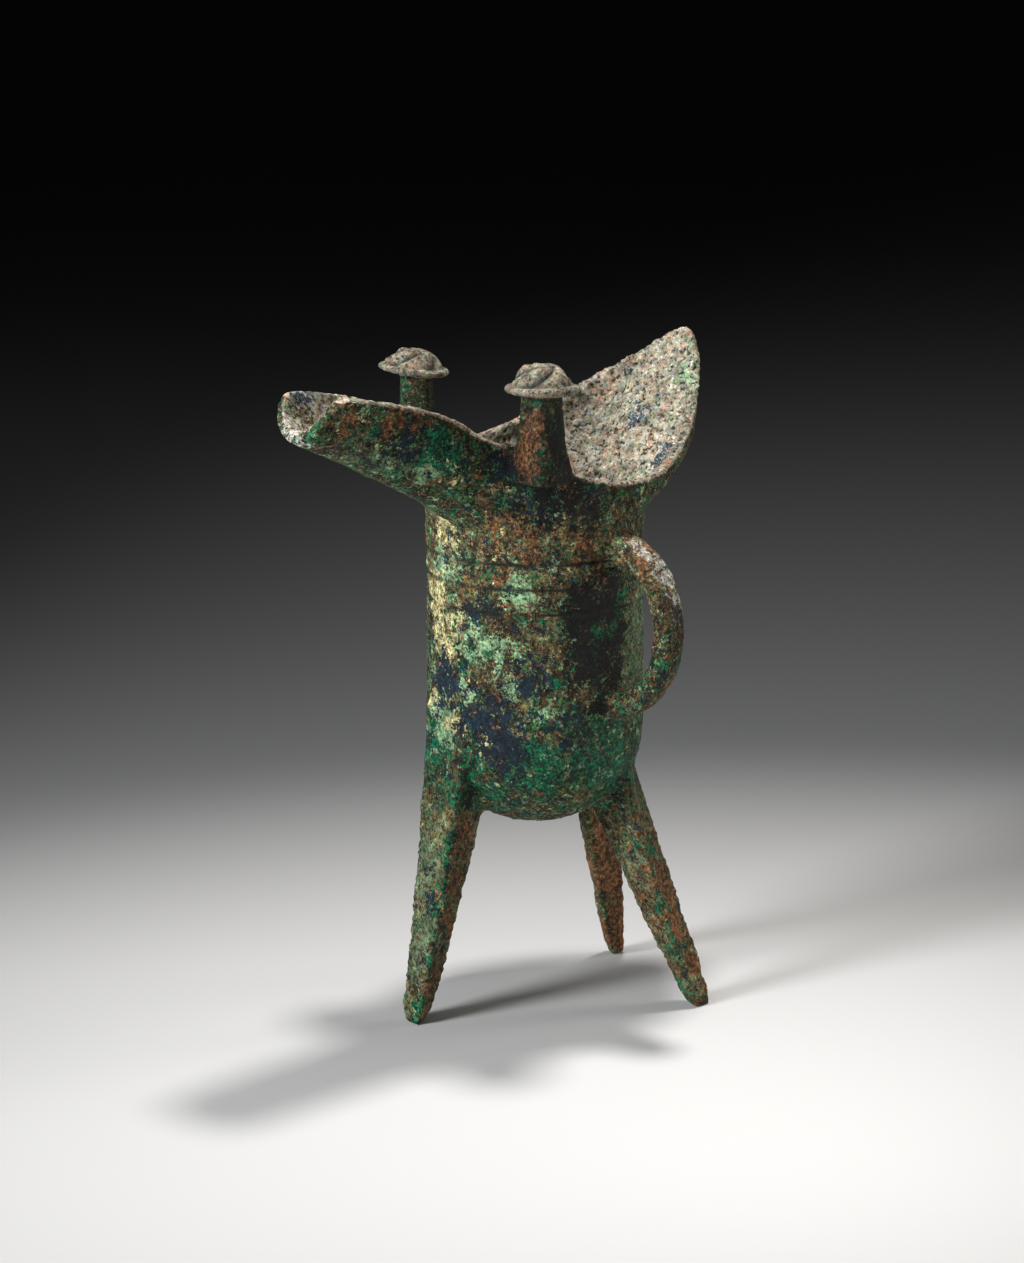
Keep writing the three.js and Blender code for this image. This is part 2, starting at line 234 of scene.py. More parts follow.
def one_skin():
    """All the pieces as one closed mesh of small faces, with the seams between them closed."""
    work = bmesh.new()
    for node in frame["nodes"]:
        work.from_mesh(grown(node, SEAM_GROWTH))
    mesh = bpy.data.meshes.new("casting")
    work.to_mesh(mesh)
    work.free()
    obj = linked("casting_in_pieces", mesh)
    remesh = obj.modifiers.new("one_skin", "REMESH")
    remesh.mode = "VOXEL"
    remesh.voxel_size = FACE_SIZE * MM
    skin = evaluated(obj)
    bpy.data.objects.remove(obj)
    return skin


def eased(value):
    """Smooth step from 0 to 1."""
    share = np.clip(value, 0, 1)
    return share * share * (3 - 2 * share)


class Net:
    """The edges of a mesh, to average each point with its neighbours."""

    def __init__(self, mesh):
        flat = np.empty(len(mesh.edges) * 2, np.int32)
        mesh.edges.foreach_get("vertices", flat)
        self.edges = flat.reshape(-1, 2)
        self.count = len(mesh.vertices)
        self.valence = np.bincount(flat, minlength=self.count)

    def averaged(self, values):
        total = np.zeros_like(values)
        for near, far in ((0, 1), (1, 0)):
            for axis in range(values.shape[1]):
                total[:, axis] += np.bincount(
                    self.edges[:, near], values[self.edges[:, far], axis], self.count
                )
        return total / self.valence[:, None]


def closeness(points, node, reach):
    """1 on a node's surface, falling to 0 at the reach, in millimetres."""
    low, high = (np.array(corner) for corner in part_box(node))
    margin = reach * MM
    near = ((points > low - margin) & (points < high + margin)).all(axis=1)
    tree = BVHTree.FromObject(frame["nodes"][node], bpy.context.evaluated_depsgraph_get())
    result = np.zeros(len(points), np.float32)
    for index in np.flatnonzero(near):
        distance = tree.find_nearest(Vector(points[index]), margin)[3]
        if distance is not None:
            result[index] = 1 - distance / margin
    return result


def away_from_near_post(points, reach):
    """0 close to the near post, which is bare of rim and granules, and 1 further off."""
    return 1 - eased(closeness(points * MM, "near_post", reach) * 2)


def fill_fillets(mesh, net):
    """Rounds the corners where legs, handle and posts grow out of the body, by adding metal only."""
    points = points_of(mesh)
    zone = np.zeros(len(points), np.float32)
    for piece, wall, reach in FILLETS:
        both = np.minimum(closeness(points, piece, reach), closeness(points, wall, reach))
        zone = np.maximum(zone, eased(both * FILLET_FULLNESS))
    for _ in range(FILLET_ROUNDS):
        normals = normals_of(mesh)
        step = net.averaged(points) - points
        outwards = np.clip((step * normals).sum(axis=1), 0, None)
        points = points + normals * (outwards * zone)[:, None]
        set_points(mesh, points)


def wear_edges(mesh, net):
    """Softens all the edges a little, and rounds the feet."""
    points = points_of(mesh)
    for _ in range(WEAR_ROUNDS):
        points = points + (net.averaged(points) - points) * WEAR_SHARE
    for _ in range(FOOT_ROUNDS):
        low = eased(FOOT_EASE - points[:, 2] / FOOT_WEAR)
        points = points + (net.averaged(points) - points) * low[:, None]
    set_points(mesh, points)


def grain(places, size, octaves, shift):
    """Smooth noise from about -1 to 1, with bumps of about the size in millimetres."""
    offset = Vector((shift, shift * 0.7, -shift))
    return np.array([noise.fractal(p / size + offset, 1, 2, octaves) for p in places], np.float32)


def inner_side(points, normals):
    """1 on surfaces that face the space above the mouth, 0 on the outside, from directions in millimetres."""
    sky = np.array((AXIS.x, AXIS.y, SKY_Z))
    towards = sky - points
    towards /= np.linalg.norm(towards, axis=1)[:, None]
    return eased((normals * towards).sum(axis=1) * INSIDE_SHARPNESS + 0.5)


def band(value, low, high, soft):
    """1 between two heights or lengths, with soft ends."""
    return eased((value - low) / soft + 0.5) * eased((high - value) / soft + 0.5)


def ring_grooves(points, places, inside):
    """1 at the bottom of the incised rings on the outside of the cup, 0 away from them."""
    out_x = points[:, 0] - AXIS.x
    out_y = points[:, 1] - AXIS.y
    grooves = np.zeros(len(points), np.float32)
    for height in RING_HEIGHTS:
        tilted = points[:, 2] - height - RING_SWAY * np.sin(np.arctan2(out_y, out_x) + RING_SWAY_START)
        grooves += np.exp(-((tilted / (RING_WIDTH * 0.5)) ** 2))
    near_cup = np.hypot(out_x, out_y) < RING_REACH
    return grooves * ((1 - inside) * near_cup * eased(RING_KEPT + grain(places, *RING_WEAR)))


def whorls(points):
    """The relief of the whirling crescents on the caps, with their creases, and which points lie on a cap."""
    height = np.zeros(len(points), np.float32)
    on_caps = np.zeros(len(points), np.float32)
    for cap, start in CAPS.items():
        low, high = (np.array(corner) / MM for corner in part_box(cap))
        centre = (low + high) / 2
        away = points - centre
        radius = np.hypot(away[:, 0], away[:, 1])
        turn = np.arctan2(away[:, 1], away[:, 0])
        reach = (high - low)[0] / 2
        wave = np.abs(np.sin((turn + radius * WHORL_TWIST) * WHORL_ARMS / 2 + start))
        crescent = wave ** WHORL_ROUNDNESS
        within = (radius < reach + CAP_MARGIN) * (points[:, 2] > low[2] + CAP_UNDERSIDE)
        zone = band(radius, reach * WHORL_START, reach * WHORL_END, 1.5) * within
        height += (crescent - 1) * zone * WHORL_DEPTH
        brim = (radius - reach * BRIM_CREASE_AT) / BRIM_CREASE_WIDTH
        height -= np.exp(-(brim ** 2)) * within * BRIM_CREASE
        on_caps += within
    return height, on_caps


def bend_of(mesh, net):
    """How sharply the skin turns: above 0 on ridges and rims, below 0 in creases."""
    points = points_of(mesh) / MM
    for _ in range(BEND_ROUNDS):
        points = net.averaged(points)
    bend = (((points_of(mesh) / MM) - points) * normals_of(mesh)).sum(axis=1)
    return net.averaged(bend[:, None])[:, 0]


def record(mesh, name, values):
    attribute = mesh.attributes.new(name, "FLOAT", "POINT")
    attribute.data.foreach_set("value", values.astype(np.float32))


def corrode(mesh, net):
    """Moves the skin by the unevenness of the casting and its crusts, and records what the finish needs."""
    points = points_of(mesh) / MM
    normals = normals_of(mesh)
    places = [Vector(p) for p in points.tolist()]
    bend = bend_of(mesh, net) * away_from_near_post(points, 6)
    out_x = points[:, 0] - AXIS.x
    radius = np.hypot(out_x, points[:, 1] - AXIS.y)
    in_vessel = (points[:, 2] > SEAM_Z - 1) | (radius < CUP_INNER_RADIUS)
    inside = inner_side(points, normals)
    inside *= in_vessel * away_from_near_post(points, 3)
    mouth = eased((points[:, 2] - SEAM_Z) / MOUTH_EASE)
    tail = mouth * eased((out_x - TAIL_START) / TAIL_START)
    legs = eased((LEG_TOP_Z - points[:, 2]) / LEG_EASE)
    crust = grain(places, *CRUST)
    granules = grain(places, *GRANULES)
    grooves = ring_grooves(points, places, inside)
    folds, on_caps = whorls(points)
    granule_relief = GRANULE_RELIEF + MOUTH_RELIEF * inside * mouth + LEG_RELIEF * legs
    relief = crust * CRUST_RELIEF + granules * granule_relief
    crust_height = CRUST_HEIGHT + LEG_CRUST * legs + TAIL_CRUST * inside * tail
    granule_height = (
        GRANULE_HEIGHT + TAIL_GRANULES * inside * tail + MOUTH_GRANULES * inside * mouth + LEG_GRANULES * legs
    )
    height = (
        grain(places, *SWELL) * (SWELL_HEIGHT + LEG_SWELL * legs)
        + grain(places, *LUMPS) * LUMP_HEIGHT
        + crust * crust_height * (1 - CAP_CALM * on_caps)
        + granules * granule_height * (1 - CAP_CALM * on_caps)
        - grooves * RING_DEPTH
        + folds
    )
    above_floor = eased((points[:, 2] - FLOOR_CLEARANCE) / FLOOR_EASE)
    moved = points + normals * (height * above_floor)[:, None]
    moved[:, 2] = np.maximum(moved[:, 2], 0)
    set_points(mesh, moved * MM)
    record(mesh, "relief", relief)
    record(mesh, "bend", bend)
    # The groove attribute marks the rings and the caps' deep folds, which the finish darkens as painted
    # shade.
    record(mesh, "groove", np.maximum(grooves, eased(-folds - DARK_CREASE_DEPTH) * DARK_CREASE_SHARE))
    record(mesh, "inside", inside)
    skin = mesh.attributes.new("skin", "BOOLEAN", "FACE")
    skin.data.foreach_set("value", np.ones(len(mesh.polygons), bool))


def cut(obj, tool, operation):
    boolean = obj.modifiers.new("cut", "BOOLEAN")
    boolean.operation = operation
    boolean.solver = "MANIFOLD"
    boolean.object = tool
    result = evaluated(obj)
    obj.modifiers.remove(boolean)
    return result


def split(rest, region):
    """Takes what lies in the region out of the rest, and gives it back as a mesh of its own."""
    piece = cut(rest, region, "INTERSECT")
    rest.data = cut(rest, region, "DIFFERENCE")
    return piece


def filled_cup():
    """The cup as a solid body a little under its skin, so that what grows from it is cut inside the metal."""
    mesh = grown("cup", -CUT_DEPTH)
    work = bmesh.new()
    for vertex in mesh.vertices:
        work.verts.new(vertex.co)
    bmesh.ops.convex_hull(work, input=work.verts)
    bmesh.ops.delete(work, geom=[vertex for vertex in work.verts if not vertex.link_faces], context="VERTS")
    work.to_mesh(mesh)
    work.free()
    return linked("filled_cup", mesh)


def above_seam():
    """A block that holds everything over the seam between cup and mouth."""
    mesh = bpy.data.meshes.new("above_seam")
    work = bmesh.new()
    bmesh.ops.create_cube(work, size=BLOCK_SIZE)
    bmesh.ops.translate(work, verts=work.verts, vec=(0, 0, BLOCK_SIZE / 2 + SEAM_Z * MM))
    work.to_mesh(mesh)
    work.free()
    return linked("above_seam", mesh)


def sharpen_cuts(mesh):
    """Shades the skin smooth, and keeps the edges sharp where a cut face meets it."""
    mesh.shade_smooth()
    skin = np.zeros(len(mesh.polygons), bool)
    mesh.attributes["skin"].data.foreach_get("value", skin)
    corner_edges = np.empty(len(mesh.loops), np.int32)
    mesh.loops.foreach_get("edge_index", corner_edges)
    sizes = np.empty(len(mesh.polygons), np.int32)
    mesh.polygons.foreach_get("loop_total", sizes)
    corner_skin = np.repeat(skin, sizes)
    touched = np.bincount(corner_edges[corner_skin], minlength=len(mesh.edges))
    mesh.edges.foreach_set("use_edge_sharp", touched == 1)


def make_pieces():
    """The casting cut into its pieces, each closed, as meshes by node name."""
    mesh = one_skin()
    net = Net(mesh)
    fill_fillets(mesh, net)
    wear_edges(mesh, net)
    corrode(mesh, net)
    rest = linked("casting", mesh)
    body = filled_cup()
    meshes = {}
    for node, reach in REACHES.items():
        region = linked("region", grown(node, reach))
        if node == "handle" or node.endswith("_leg"):
            region.data = cut(region, body, "DIFFERENCE")
        meshes[node] = split(rest, region)
        bpy.data.objects.remove(region)
    top = above_seam()
    meshes["mouth"] = split(rest, top)
    meshes["cup"] = rest.data
    for tool in (rest, body, top):
        bpy.data.objects.remove(tool)
    for made in meshes.values():
        sharpen_cuts(made)
    return meshes


# The finish: colours as they look in plain daylight, from 0 to 255.
COLOURS = {
    "soot and painted shade": (12, 14, 13),
    "bronze brown": (92, 70, 44),
    "khaki": (146, 130, 84),
    "grey green": (120, 138, 104),
    "deep green": (6, 58, 42),
    "emerald": (0, 150, 98),
    "leaf green": (70, 130, 72),
    "mint": (160, 206, 156),
    "cream": (226, 220, 160),
    "navy": (24, 54, 72),
    "slate blue": (92, 116, 134),
    "rust": (178, 122, 78),
    "red brown": (84, 62, 40),
    "sand": (198, 178, 150),
    "rose": (190, 148, 122),
    "chalk and painted highlight": (222, 216, 206),
    "ash": (172, 174, 158),
    "pits and painted shade": (36, 38, 30),
}

# The bare metal outside and the ground inside the mouth. A mix is one colour, or two with the size of their
# grains in millimetres and the span of noise over which one gives way to the other.
METAL = ("soot and painted shade", "bronze brown", 1.8)
MOUTH_GROUND = ("ash", "sand", 3.2, 0.42, 0.58)

# The crusts outside, each over the last: the size of its patches in millimetres, its seed, how much it covers
# everywhere, how raggedly it ends, its mix of colours, and how much more of it lies in a zone.
CRUSTS = {
    "khaki": dict(size=6, seed=1, cover=0.4, ragged=1.0, mix=("bronze brown", "khaki", 1.1),
                  zones={"legs": 0.16, "neck": 0.16}),
    "moss": dict(size=6, seed=2, cover=0.42, ragged=1.0, mix=("deep green", "leaf green", 1.4),
                 zones={"legs": -0.12, "neck": -0.12}),
    "grey green": dict(size=4, seed=3, cover=0.25, ragged=1.1, mix=("grey green",),
                       zones={"legs": 0.14}),
    "emerald": dict(size=4.5, seed=4, cover=0.35, ragged=0.9, mix=("deep green", "emerald", 0.9),
                    zones={"leg ridges": 0.4, "foot of cup": 0.22, "legs": -0.1, "neck": -0.1}),
    "mint": dict(size=3.2, seed=5, cover=0.29, ragged=0.5, mix=("grey green", "mint", 1.3, 0.3, 0.6),
                 zones={"pale pieces": 1.0}),
    "cream": dict(size=2.8, seed=6, cover=0.21, ragged=0.5, mix=("khaki", "cream", 1.2, 0.25, 0.55),
                  zones={"pale pieces": 1.0}),
    "navy": dict(size=3.6, seed=7, cover=0.29, ragged=0.6, mix=("soot and painted shade", "navy", 1.2, 0.3, 0.6)),
    "rust": dict(size=3.4, seed=8, cover=0.2, ragged=1.0, mix=("red brown", "rust", 1.2),
                 zones={"rusty pieces": 1.0, "sunny legs": 0.22, "foot of cup": -0.06, "neck": 0.06}),
    # Soot: a real dark crust in patches; its spots below thicken it into painted shade.
    "soot and painted shade": dict(size=5.5, seed=9, cover=0.2, ragged=0.8, mix=("soot and painted shade",)),
    "jade": dict(size=2.6, seed=16, cover=0.0, ragged=0.9, mix=("deep green", "emerald", 1.0)),
    # Chalk: a thin real crust, laid thick by its spots below as painted highlight.
    "chalk and painted highlight": dict(size=2.0, seed=11, cover=0.02, ragged=0.7, mix=("ash", "chalk and painted highlight", 0.6)),
}
MOUTH_CRUSTS = {
    "rose": dict(size=3.4, seed=12, cover=0.34, ragged=0.6, mix=("rose",)),
    "lichen": dict(size=2.6, seed=14, cover=0.27, ragged=0.9, mix=("grey green", "mint", 1.1)),
    "slate blue": dict(size=2.4, seed=13, cover=0.2, ragged=0.9, mix=("navy", "slate blue", 1.2)),
    # Painted shadow in the spout's trough, under its far wall.
    "painted spout shadow": dict(size=3.0, seed=17, cover=0.0, ragged=0.6, mix=("deep green", "khaki", 1.2)),
    # The mouth's chalk is a real crust, and takes the same spots of painted highlight.
    "chalk and painted highlight": dict(size=1.8, seed=15, cover=0.22, ragged=0.9, mix=("chalk and painted highlight",)),
}
RIM_CRUSTS = {
    "rim": dict(size=2.0, seed=10, cover=0.0, ragged=0.7, mix=("rose", "sand", 0.8), zones={"rim": 0.8}),
}

# Where each crust lies thickest: x, y, z and reach in millimetres, and how thick.
SPOTS = {
    "cream": (
        (-17, 12, 138, 6, 0.5), (-17, 14, 112, 10, 0.4), (-15, 18, 122, 7, 0.4), (-17, 9, 84.5, 4.5, 0.75),
        (-17, 13, 103, 5, 0.35), (-16, 18, 90, 3.5, 0.6), (-16, -2, 81.5, 4, 0.65), (-30, -3, 157, 4.5, 0.35),
    ),
    "mint": (
        (-11, -10, 124, 6, 0.4), (-17, 3, 109, 7, 0.35), (-14, -7, 107, 6, 0.3), (-13, -7, 98, 4, 0.4),
        (-17, 5, 95, 3.5, 0.5), (-11, -11, 88, 2.5, 0.5), (-6, -16, 89, 3, 0.4), (-17, 13, 127, 8, 0.35),
        (-18, 15, 84, 6, 0.35), (-18, 12, 78, 5, 0.25), (-36, -2, 158, 5, 0.25), (-17, 15, 92, 8, 0.3),
        (-50, 0, 163, 6, 0.3),
    ),
    "emerald": (
        (-36, -4, 163, 7, 0.75), (-30, -9, 157, 6, 0.5), (-57, -2, 170, 3, 0.5), (9, -22, 117, 4, 0.75),
        (7, -22, 124, 2.5, 0.6), (-4, -17, 98, 3, 0.45), (-17, 15, 80, 7, 0.45), (-7, -14, 72, 8, 0.4),
        (10, -22, 77, 7, 0.5), (16, -20, 71, 5, 0.4), (57, -12, 168, 8, 0.4), (-20, 7, 64, 3, 0.6),
        (-22, 8, 50, 2.5, 0.6), (-25, 9, 34, 2.5, 0.5), (-27, 9, 20, 2.5, 0.5), (-30, 11, 5, 4, 0.5),
        (28, -22, 47, 3, 0.6), (28, -25, 31, 3, 0.6), (32, -28, 17, 3.5, 0.5), (29, -17, 59, 4, 0.4),
        (36, -27, 4, 4, 0.5),
    ),
    "rust": (
        (-15, -5, 142, 4.5, 0.5), (-10, -12, 136, 5, 0.45), (2, -20, 135, 4.5, 0.4), (-14, -7, 127, 3, 0.45),
        (-6, -16, 84, 3, 0.4), (-14, -1, 70, 2, 0.5), (-6, -11, 67, 3, 0.5), (-65, -3, 174, 4, 0.5),
        (-53, -4, 173, 5, 0.6), (-44, -5, 174, 4, 0.6), (-15, -18, 168, 5, 0.8), (-16, -16, 160, 5, 0.75),
        (-11, -20, 161, 3, 0.4), (-2, -19, 152, 4, 0.4), (-15, 8, 54, 4, 0.3), (-18, 9, 40, 4, 0.35),
        (-17, 11, 25, 4, 0.35), (-26, 10, 12, 4, 0.35), (33, -26, 29, 3, 0.5), (38, -29, 12, 4.5, 0.5),
        (49, 12, 30, 12, 0.5), (53, 14, 9, 8, 0.5), (44, 10, 48, 8, 0.4), (28, -22, 36, 9, 0.3),
        (31, -25, 22, 7, 0.3), (15, -31, 134, 6, 0.5),
    ),
    "navy": (
        (-16, 0, 117, 5, 0.35), (-17, 13, 97, 8, 0.5), (-10, -12, 101, 6, 0.35), (-15, -4, 90, 8, 0.45),
        (-14, -7, 79, 8, 0.5), (-16, 2, 85, 6, 0.35), (-47, -2, 166, 6, 0.45), (-16, -9, 157, 6, 0.45),
        (-8, -21, 165, 4, 0.4), (-7, -15, 149, 6, 0.35), (4, -21, 149, 5, 0.3), (-54, 17, 177, 5, 0.6),
        (-22, 14, 35, 5, 0.25), (-1, -18, 84, 6, 0.25),
    ),
    # These soot spots are painted shade: the dark band on the cup's front, the neck under the mouth's lip,
    # the near post's shaded side and the gap between the spout leg and the belly.
    "soot and painted shade": (
        (9, -22, 122, 9, 0.35), (8, -21, 110, 12, 0.38), (9, -22, 96, 10, 0.32), (3, -20, 112, 14, 0.12),
        (0, -21, 147, 10, 0.4), (-11, -13, 148, 8, 0.35), (-7, -22, 166, 7, 0.4), (-5, -21, 157, 5, 0.3),
        (-21, -7, 159, 5, 0.35), (-9, -23, 155, 4, 0.3), (-14, 7, 66, 4, 0.4),
    ),
    "khaki": (
        (-8, -14, 107, 8, 0.4), (-11, -11, 92, 4, 0.4), (-11, -11, 80, 4, 0.45), (-5, -16, 75, 4, 0.4),
        (3, -14, 63, 6, 0.4), (-22, -4, 149, 6, 0.35), (-22, 15, 58, 8, 0.3),
    ),
    # The first four grey green spots are painted highlight, on the lit strip along the cup's right edge; the
    # others are crust.
    "grey green": (
        (25, -19, 117, 8, 0.8), (25, -20, 105, 8, 0.8), (19, -22, 97, 6, 0.7), (28, -17, 112, 9, 0.4),
        (-45, -1, 160, 9, 0.45), (-60, 2, 165, 8, 0.4), (-24, 16, 45, 10, 0.35), (-27, 14, 22, 9, 0.35),
        (27, -20, 40, 6, 0.35),
    ),
    "slate blue": (
        (53, 7, 163, 5, 0.45), (46, -10, 154, 6, 0.45), (-64, 16, 179, 4, 0.7),
    ),
    # Painted shadow in the spout's trough, cast by its far wall.
    "painted spout shadow": (
        (-66, 15, 174, 5, 0.7), (-57, 17, 174, 6, 0.6), (-62, 8, 172, 5, 0.6),
    ),
    "lichen": (
        (66, -3, 178, 9, 0.3), (63, -9, 171, 6, 0.32), (-72, 12, 176, 5, 0.4), (-70, 14, 180, 4, 0.4),
    ),
    "jade": (
        (16, -22, 121, 3.5, 0.8), (14, -22, 115, 3.5, 0.8), (9, -22, 111, 3.5, 0.7), (7, -22, 104, 2.5, 0.5),
        (28, -23, 47, 4, 0.6), (30, -26, 31, 4, 0.6), (33, -28, 17, 3.5, 0.5), (29, -17, 59, 5, 0.5),
    ),
    # These chalk spots are painted highlight: on the handle's top and in the spout's end, on the faces turned
    # to the lamps.
    "chalk and painted highlight": (
        (15, -30, 135, 5, 0.52), (17, -36, 130, 5, 0.6), (18, -39, 124, 5, 0.42), (19, -40, 117, 5, 0.32),
        (-74, 12, 172, 5, 0.6), (-75, 6, 171, 5, 0.6),
    ),
}

# Zones of the vessel: heights and distances in millimetres between which a zone comes in or goes out.
BELLY_Z = 84
OFF_BELLY = (30, 38)
LEG_HEIGHTS = (82, 72)
NECK_RISE = (104, 124)
NECK_FALL = (150, 138)
CUP_FOOT_RISE = (56, 66)
CUP_FOOT_FALL = (90, 76)
RIM_RISE = (SEAM_Z + 8, SEAM_Z + 14)
SUNNY_SIDE = (0.82, -0.57, 0.1)
RIDGE_BEND = 0.16

# How far the spots' outlines stray, and from which share of their reach to which they thin out.
STRAY_SIZE = 4.5
STRAY = 14.0
SPOT_THINNING = (1.35, 0.35)

# How much noise a patch needs at no cover, how much less at full cover, its edge and the size of its grains.
BARE_LEVEL = 0.76
COVER_DROP = 0.51
PATCH_EDGE = (-0.02, 0.05)
GRAIN_SIZE = 0.9

# Light and dark over the skin: size in millimetres, detail and roughness of the noise, its span and shades.
FINE_NOISE = (0.75, 4, 0.75)
FINE_SHADES = (0.32, 0.68, 0.4, 1.55)
CLOUD_NOISE = (2.8, 4, 0.7)
CLOUD_SHADES = (0.36, 0.64, 0.6, 1.4)
PATCH_NOISE = (9, 3, 0.6)
PATCH_SHADES = (0.35, 0.65, 0.88, 1.12)
CALM_SHARE = 0.45
INSIDE_SHADE = 0.08
# The soot crust darkens the skin further by this share, which deepens its painted shade.
SOOT_AND_PAINTED_SHADE_DARKENING = 0.35
# Painted shade: how much darker the foot of the cup is, where the belly turns under.
CUP_FOOT_PAINTED_SHADE = 0.28

# Pits between the grains, and how dark they, the creases and the rings are: the dark of the creases and the
# rings is painted shade.
PIT_NOISE = (1.1, 3, 0.65)
PIT_RELIEF = 0.14
PIT_SPAN = (0.46, 0.36)
PIT_SHARE = 0.75
CRUSTED_PITS = 0.45
INSIDE_PITS = 0.9
CREASE_SHARE = 0.7
GROOVE_SHARE = 1.1

# Roughness, and the heights of crusts, grains and pits in millimetres.
DULL = 0.86
GLOSS = 0.22
CRUST_BUMP = 0.12
GRAIN_BUMP = 0.42
PIT_BUMP = -0.25
TINY_NOISE = (0.45, 3, 0.7)
SPECULAR = 0.35

# What each piece adds: pale crust, rust and how light it is. Posts have no granules, caps are full of them.
FINISHES = {
    "cup_bronze": {"Pale": 0.0, "Rust": 0.0, "Shade": 1.0},
    "mouth_bronze": {"Pale": 0.0, "Rust": 0.0, "Shade": 1.0},
    "handle_bronze": {"Pale": -0.02, "Rust": 0.07, "Shade": 0.85},
    "leg_bronze": {"Pale": -0.04, "Rust": 0.02, "Shade": 0.98},
    "post_bronze": {"Pale": -0.12, "Rust": 0.04, "Shade": 0.5, "Inside": 0.0},
    "cap_bronze": {"Pale": 0.0, "Rust": 0.1, "Shade": 0.72, "Inside": 0.88},
}


def linear(name):
    """A named colour in the renderer's own light units."""
    shares = (value / 255 for value in COLOURS[name])
    return (*((s / 12.92 if s < 0.04045 else ((s + 0.055) / 1.055) ** 2.4) for s in shares), 1)


class Wiring:
    """A node tree to wire up: each method adds what it names and gives back its output."""

    def __init__(self, tree):
        self.tree = tree

    def join(self, output, target):
        self.tree.links.new(output, target)

    def fill(self, node, inputs):
        for key, value in inputs.items():
            if isinstance(value, bpy.types.NodeSocket):
                self.join(value, node.inputs[key])
            else:
                node.inputs[key].default_value = value
        return node

    def add(self, kind, inputs, **options):
        node = self.tree.nodes.new("ShaderNode" + kind)
        for option, value in options.items():
            setattr(node, option, value)
        return self.fill(node, inputs)

    def use(self, group, inputs):
        node = self.tree.nodes.new("ShaderNodeGroup")
        node.node_tree = group
        return self.fill(node, inputs)

    def maths(self, operation, first, *others):
        for other in others:
            first = self.add("Math", {0: first, 1: other}, operation=operation).outputs[0]
        return first

    def plus(self, *values):
        return self.maths("ADD", *values)

    def less(self, first, second):
        return self.maths("SUBTRACT", first, second)

    def times(self, *values):
        return self.maths("MULTIPLY", *values)

    def most(self, *values):
        return self.maths("MAXIMUM", *values)

    def dimmed(self, mask, share=1.0):
        """1 where the mask is 0, and less by the share where it is 1."""
        return self.less(1.0, self.times(mask, share))

    def vector(self, operation, first, second, output="Vector"):
        return self.add("VectorMath", {0: first, 1: second}, operation=operation).outputs[output]

    def scaled(self, vector, factor):
        return self.add("VectorMath", {0: vector, "Scale": factor}, operation="SCALE").outputs["Vector"]

    def blended(self, share, first, second):
        return self.add("Mix", {0: share, 6: first, 7: second}, data_type="RGBA").outputs[2]

    def ramped(self, value, low, high, start=0.0, end=1.0):
        """Smooth step of a value between low and high. Its ends are flat, so it needs no clamp of its own."""
        inputs = {"Value": value, "From Min": low, "From Max": high, "To Min": start, "To Max": end}
        return self.add("MapRange", inputs, interpolation_type="SMOOTHSTEP", clamp=False).outputs["Result"]

    def noise(self, place, size, detail, roughness, output="Fac"):
        """Noise with features of the size in millimetres."""
        inputs = {"Vector": place, "Scale": 1 / size, "Detail": detail, "Roughness": roughness}
        return self.add("TexNoise", inputs).outputs[output]

    def mottled(self, place, first, second=None, size=1.0, low=0.4, high=0.6):
        """One colour, or two colours of one crust, mixed grain by grain."""
        if second is None:
            return linear(first)
        share = self.ramped(self.noise(place, size, 4, 0.7), low, high)
        return self.blended(share, linear(first), linear(second))


def new_group(name, inputs, outputs):
    """An empty node group with sockets made from name, kind and first value: wiring, inputs and outputs."""
    group = bpy.data.node_groups.new(name, "ShaderNodeTree")
    for label, kind, value in inputs:
        socket = group.interface.new_socket(name=label, in_out="INPUT", socket_type="NodeSocket" + kind)
        socket.default_value = value
    for label, kind in outputs:
        group.interface.new_socket(name=label, in_out="OUTPUT", socket_type="NodeSocket" + kind)
    given = group.nodes.new("NodeGroupInput").outputs
    out = group.nodes.new("NodeGroupOutput").inputs
    return Wiring(group), given, out


def thick_spot():
    """How thick a crust lies at a place, by its distance from the spot's centre."""
    wiring, given, out = new_group(
        "thick_spot",
        [("Place", "Vector", (0, 0, 0)), ("Centre", "Vector", (0, 0, 0)), ("Reach", "Float", 5),
         ("Thickness", "Float", 0.5)],
        [("Cover", "Float")],
    )
    distance = wiring.vector("DISTANCE", given["Place"], given["Centre"], "Value")
    fall = wiring.ramped(wiring.maths("DIVIDE", distance, given["Reach"]), *SPOT_THINNING)
    wiring.join(wiring.times(fall, given["Thickness"]), out["Cover"])
    return wiring.tree


def ragged_deposit():
    """Patches of a crust that spread as its cover rises, and break up into grains along their edges."""
    wiring, given, out = new_group(
        "ragged_deposit",
        [("Place", "Vector", (0, 0, 0)), ("Size", "Float", 5), ("Seed", "Float", 0), ("Cover", "Float", 0.5),
         ("Grain", "Float", 0.8)],
        [("Mask", "Float")],
    )
    moved = wiring.vector("ADD", given["Place"], wiring.scaled((173, -91, 57), given["Seed"]))
    shrunk = wiring.scaled(moved, wiring.maths("DIVIDE", 1.0, given["Size"]))
    patches = wiring.noise(shrunk, 1, 4, 0.6)
    grains = wiring.less(wiring.noise(moved, GRAIN_SIZE, 3, 0.7), 0.5)
    cover = wiring.maths("MINIMUM", given["Cover"], 1.0)
    level = wiring.less(BARE_LEVEL, wiring.times(cover, COVER_DROP))
    above = wiring.plus(wiring.less(patches, level), wiring.times(grains, given["Grain"]))
    wiring.join(wiring.ramped(above, *PATCH_EDGE), out["Mask"])
    return wiring.tree


SPOT = thick_spot()
DEPOSIT = ragged_deposit()


